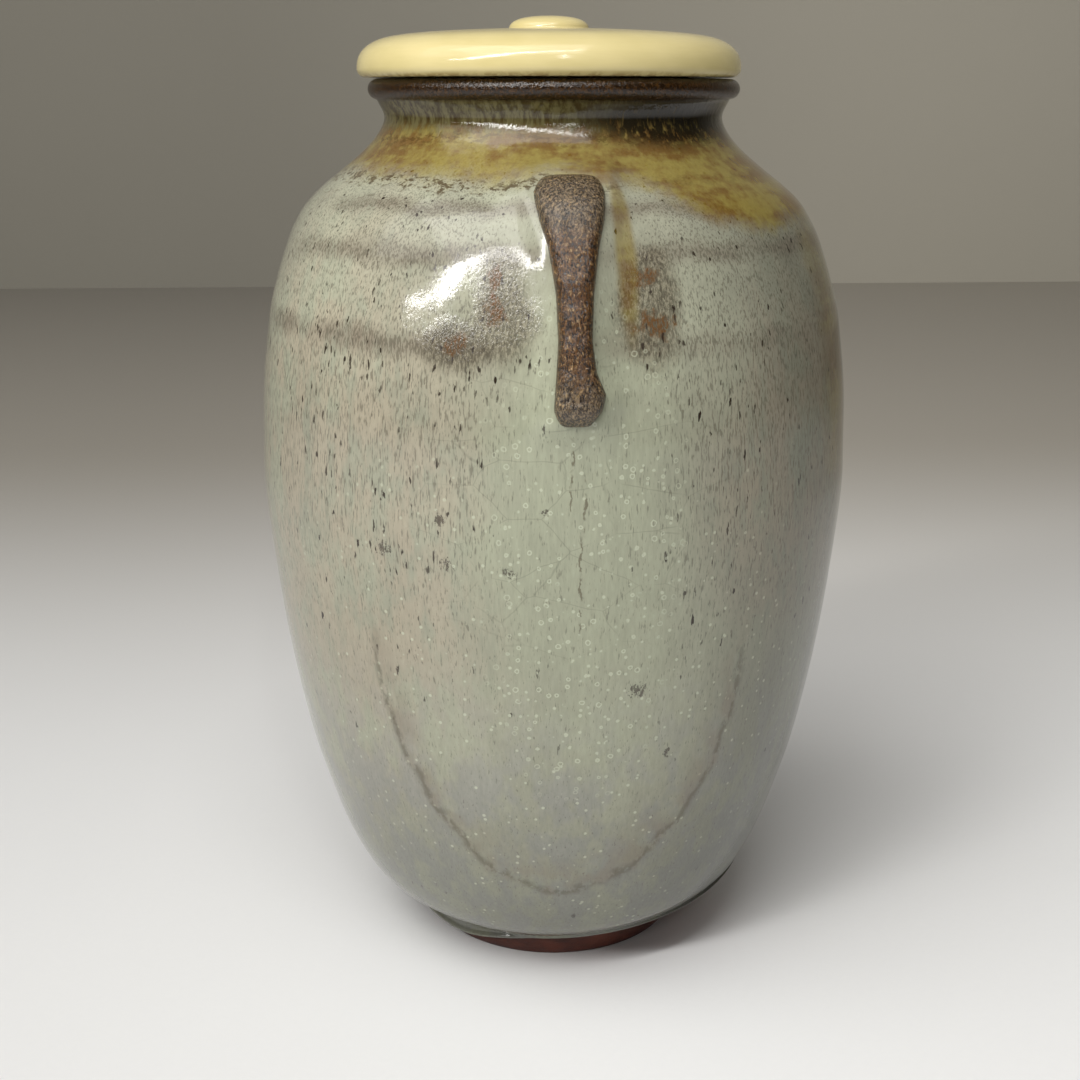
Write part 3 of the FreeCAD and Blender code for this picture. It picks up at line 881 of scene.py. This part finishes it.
def lid_paint():
    """Polished cream resin, very faintly clouded, with fine turning lines and a browner lower edge to the
    rim.
    """
    p = JarPaint("polished_cream_resin")
    clouds = p.noise(p.grains(7, 3, 1.0), 3.0, 0.5)
    colour = p.mix(p.step(clouds, 0.3, 0.7), srgb(207, 192, 136), srgb(215, 200, 146))
    turning = p.noise(p.grains(2.4, 0.12, 3.0), 2.0, 0.6)
    colour = p.shade(colour, turning, 0.965, 1.02)
    far, own, _ = p.cells(p.grains(1.7, 1.7, 5.0))
    specks = p.times(p.step(far, 0.07, 0.03), p.step(own, 0.86, 0.9))
    colour = p.mix(p.times(specks, 0.5), colour, srgb(150, 120, 80))
    radius = p.math("SQRT", p.plus(p.times(p.x, p.x), p.times(p.y, p.y)))
    lowest = p.step(p.height, LID_BOTTOM / MM + 0.5, LID_BOTTOM / MM)
    rim = p.times(lowest, p.step(radius, 15 * MM, 16 * MM))
    # browner in patches along the rim's lower edge
    rim_edge_brown = p.times(rim, p.step(p.fine_wander, 0.42, 0.58))
    colour = p.mix(p.times(rim_edge_brown, 0.6), colour, srgb(140, 112, 64))
    rings = p.math("SINE", p.times(radius, 2 * math.pi / (0.28 * MM)))
    height = p.plus(p.times(rings, 0.0010), p.times(turning, 0.0024), p.times(clouds, 0.06))
    return p.finish(colour, p.plus(p.times(clouds, 0.06), 0.10), p.relief(height), IOR=1.5)


def foil_paint():
    """Gold foil laid on paper: fine creases, and square joins between the leaves."""
    p = JarPaint("gold_foil_paper")
    creases = p.noise(p.wobble(p.grains(1.4, 1.4, 1.0), 1.5), 4.0, 0.7)
    fine = p.noise(p.grains(0.25, 0.25, 2.0), 2.0, 0.6)
    colour = p.mix(p.step(creases, 0.35, 0.65), srgb(196, 158, 76), srgb(226, 192, 110))
    leaf = 5.5 * MM  # half a leaf's side
    across = p.math("PINGPONG", p.plus(p.x, leaf), leaf)
    along = p.math("PINGPONG", p.plus(p.y, 0.6 * leaf), leaf)
    join = p.step(p.math("MINIMUM", across, along), 0.14 * MM, 0.05 * MM)
    colour = p.mix(p.times(join, 0.6), colour, srgb(150, 112, 50))
    height = p.plus(p.times(creases, 0.05), p.times(fine, 0.015))
    return p.finish(colour, p.plus(p.times(fine, 0.15), 0.28), p.relief(height), Metallic=0.9)


def table_paint():
    """Plain pale table top, with painted shade darker to the back and to the left."""
    p = Paint("pale_table")
    clouds = p.noise(p.grains(60, 60, 1.0), 3.0, 0.5)
    grain = p.noise(p.grains(0.6, 0.6, 2.0), 2.0, 0.6)
    pale = p.mix(clouds, srgb(242, 242, 242), srgb(247, 247, 247))
    # painted shade: darker towards the back and to the left
    colour = p.mix(p.step(p.y, 0.02, 0.22), pale, srgb(184, 178, 168))
    colour = p.shade(colour, p.step(p.x, -0.10, 0.08), 0.78, 1.0)
    colour = p.shade(colour, grain, 0.985, 1.01)
    return p.finish(colour, p.plus(p.times(grain, 0.1), 0.38), p.relief(p.times(grain, 0.01)))


def wall_paint():
    """Plain grey-brown wall behind the table, with painted light and shade, lighter to the right."""
    p = Paint("grey_wall")
    clouds = p.noise(p.grains(120, 120, 1.0), 3.0, 0.5)
    grain = p.noise(p.grains(0.8, 0.8, 2.0), 2.0, 0.6)
    colour = p.mix(clouds, srgb(180, 175, 162), srgb(186, 181, 168))
    # painted light and shade: darker to the left, lighter to the right
    colour = p.shade(colour, p.step(p.x, -0.12, 0.24), 0.68, 1.14)
    return p.finish(colour, p.plus(p.times(grain, 0.1), 0.8), p.relief(p.times(grain, 0.02)))


# ------------------------------------------------------------------- stage


def add_sheet(name, corners, material):
    """One flat sheet of the stage."""
    mesh = bpy.data.meshes.new(name)
    mesh.from_pydata(corners, [], [(0, 1, 2, 3)])
    mesh.materials.append(material)
    piece = bpy.data.objects.new(name, mesh)
    bpy.context.scene.collection.objects.link(piece)


def add_stage():
    """The table top, and a wall at its far edge."""
    side, near, far, tall = 4.0, -4.0, 0.52, 1.6
    table = [(-side, near, 0), (side, near, 0), (side, far, 0), (-side, far, 0)]
    add_sheet("table_top", table, table_paint())
    wall = [(-side, far, 0), (side, far, 0), (side, far, tall), (-side, far, tall)]
    add_sheet("back_wall", wall, wall_paint())


def direction(azimuth, elevation):
    """A unit vector towards an azimuth from -Y and an elevation, in degrees."""
    turn, rise = math.radians(azimuth), math.radians(elevation)
    return Vector((math.sin(turn) * math.cos(rise), -math.cos(turn) * math.cos(rise), math.sin(rise)))


def add_light(name, place, target, across, width, height, radiance):
    """A rectangle light whose width lies along `across`, so bright that it looks like `radiance`."""
    light = bpy.data.lights.new(name, "AREA")
    light.shape = "RECTANGLE"
    light.size = width
    light.size_y = height
    light.energy = radiance * math.pi * width * height
    light.color = LIGHT_COLOUR
    lamp = bpy.data.objects.new(name, light)
    bpy.context.scene.collection.objects.link(lamp)
    back = (place - target).normalized()
    side = (across - back * across.dot(back)).normalized()
    axes = Matrix((side, back.cross(side), back)).transposed().to_4x4()
    lamp.matrix_world = Matrix.Translation(place) @ axes


def add_window(middle):
    """The slanting window that the shoulder mirrors: a chain of lights from point to point."""
    for k, (start, end, width) in enumerate(zip(WINDOW, WINDOW[1:], WINDOW_WIDTHS)):
        first = middle + direction(*start) * WINDOW_DISTANCE
        last = middle + direction(*end) * WINDOW_DISTANCE
        long = (last - first).length
        add_light(f"window_{k}", (first + last) / 2, middle, last - first, long, width, WINDOW_RADIANCE)


def add_lights():
    """A slanting window at the left front, two broad soft lights above, a thin glint and a dim room."""
    middle = Vector((0, 0, 0.06))
    sideways = Vector((1, 0, 0))
    add_window(middle)
    softbox = middle + direction(-70, 52) * 0.42
    add_light("softbox", softbox, middle, Vector((1, 0.6, 0)), 0.32, 0.32, 1.2)
    ceiling = middle + direction(-28, 62) * 0.5
    add_light("ceiling", ceiling, middle, sideways, 0.5, 0.4, 2.4)
    glint = middle + direction(6, 32) * WINDOW_DISTANCE
    add_light("glint", glint, middle, sideways, 0.018, 0.17, WINDOW_RADIANCE)
    world = bpy.data.worlds.new("room")
    bpy.context.scene.world = world
    world.use_nodes = True
    back = world.node_tree.nodes["Background"]
    back.inputs["Color"].default_value = srgb(190, 190, 186)
    back.inputs["Strength"].default_value = 0.10


def add_camera():
    """A phone's view from slightly above, a little to the left of the front lug."""
    azimuth, pitch = math.radians(3.2), math.radians(16.29)
    distance, height, to_left = 142.31 * MM, 79.47 * MM, 1.24 * MM
    data = bpy.data.cameras.new("camera")
    data.lens = 51.0
    data.sensor_width = 36.0
    data.clip_start = 0.01
    camera = bpy.data.objects.new("camera", data)
    bpy.context.scene.collection.objects.link(camera)
    look = Matrix.Rotation(math.pi / 2 - pitch, 4, "X")
    place = Matrix.Translation((-to_left, -distance, height))
    camera.matrix_world = Matrix.Rotation(-azimuth, 4, "Z") @ place @ look
    bpy.context.scene.camera = camera


# -------------------------------------------------------------------- main


def add_pieces():
    """Every visible piece, in place of the CAD node that it stands for."""
    glaze = add_glaze(glaze_paint())
    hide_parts("glaze_coat")
    brown = lug_paint()
    for side, node in enumerate(("lug_front", "lug_back")):
        lug = add_lug(f"strap_{node}", side, brown)
        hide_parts(node)
    clay = add_clay(clay_paint())
    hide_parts("jar_body")
    lid = add_lid(lid_paint())
    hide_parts("lid")
    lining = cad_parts["lid_lining"]
    lining.data.materials.clear()
    lining.data.materials.append(foil_paint())


add_pieces()
add_stage()
add_lights()
add_camera()
bpy.context.scene.view_settings.view_transform = "Standard"
